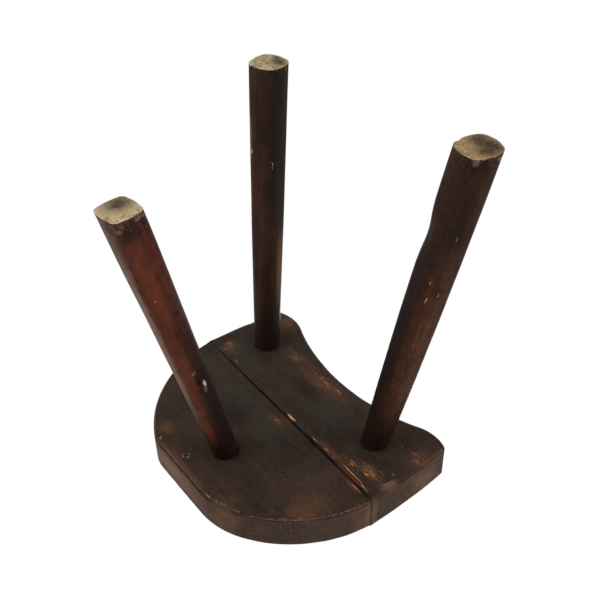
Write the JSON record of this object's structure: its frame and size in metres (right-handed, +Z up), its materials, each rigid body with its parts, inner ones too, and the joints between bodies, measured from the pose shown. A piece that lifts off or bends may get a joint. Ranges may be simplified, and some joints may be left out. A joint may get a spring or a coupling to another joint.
{
  "type": "milking stool",
  "caption": "Low rustic wooden stool: thick half-round seat of two boards with a hollow front edge, on splayed legs that are square at the floor and round at the seat.",
  "frame": {"origin": "on the floor, at the middle of the bounding box of the standing stool", "axes": "+Z up from the floor to the seat, +X along the grain of the seat, +Y to the round rear of the seat; the hollow edge faces -Y"},
  "size_m": [0.283, 0.3143, 0.361],
  "materials": {
    "seat_wood": "dark stained, worn, satin",
    "leg_wood": "dark red-brown stain, worn, satin",
    "wedge_wood": "stained oak, worn",
    "dowel_wood": "bare turned hardwood"
  },
  "bodies": {
    "root": {"seat_front_board": "seat_wood", "seat_rear_board": "seat_wood", "leg_rear": "leg_wood", "leg_front_left": "leg_wood", "leg_front_right": "leg_wood", "tenon_wedge_rear": "wedge_wood", "tenon_wedge_front_left": "wedge_wood", "tenon_wedge_front_right": "wedge_wood", "seat_dowel_left": "dowel_wood", "seat_dowel_middle": "dowel_wood", "seat_dowel_right": "dowel_wood"}
  },
  "joints": []
}
